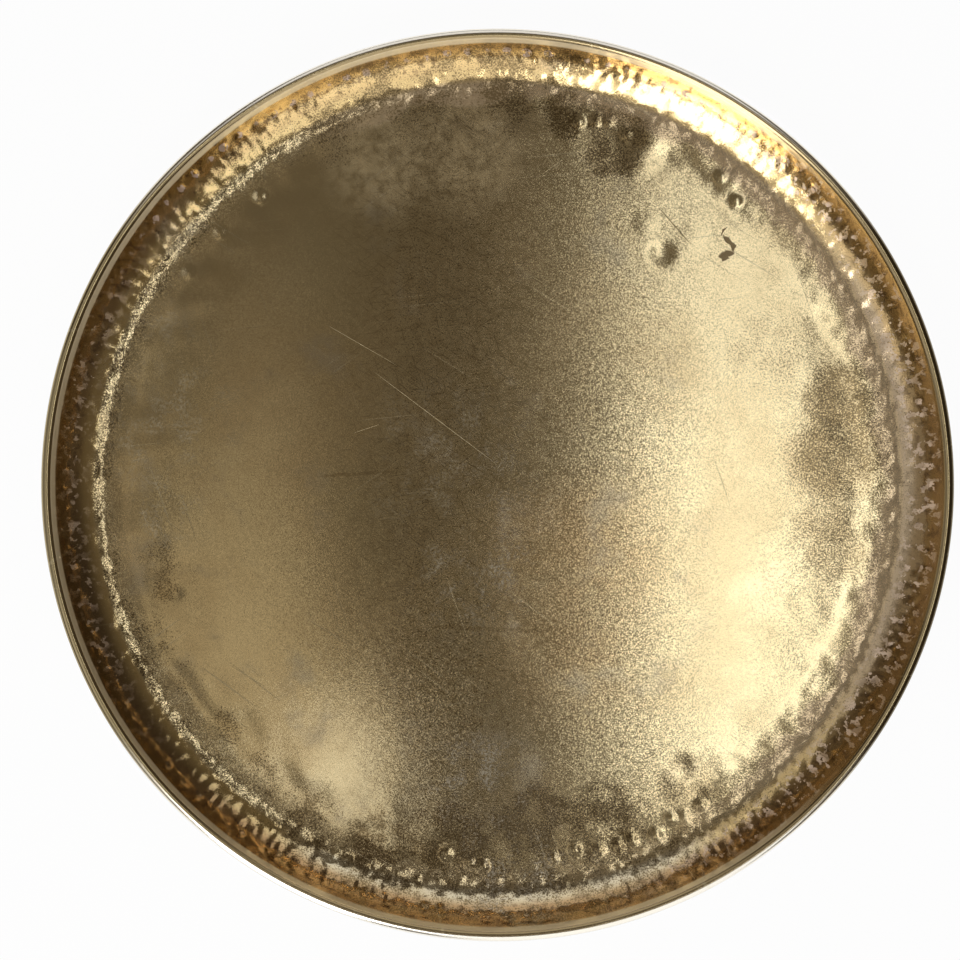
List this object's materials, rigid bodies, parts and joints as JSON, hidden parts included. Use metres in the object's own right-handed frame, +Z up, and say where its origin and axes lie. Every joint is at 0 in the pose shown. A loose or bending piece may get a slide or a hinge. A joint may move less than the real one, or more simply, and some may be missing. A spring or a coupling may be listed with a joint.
{
  "type": "round tray",
  "caption": "Shallow round metal tray with a hand-hammered flared wall, an edge rolled over a wire and felt pads underneath, for serving or display.",
  "frame": {"origin": "on the tray's axis, in the plane that the felt pads rest on", "axes": "+Z up along the axis of the round tray; the pads lie on the diagonals between +X and +Y"},
  "size_m": [0.4, 0.4, 0.024],
  "materials": {
    "hammered_brass": "hand-hammered, satin, aged brass",
    "wire_steel": "drawn steel wire",
    "pad_felt": "pressed wool felt"
  },
  "bodies": {
    "root": {"tray_pan": "hammered_brass", "rim_wire": "wire_steel", "foot_pad_1": "pad_felt", "foot_pad_2": "pad_felt", "foot_pad_3": "pad_felt", "foot_pad_4": "pad_felt"}
  },
  "joints": []
}
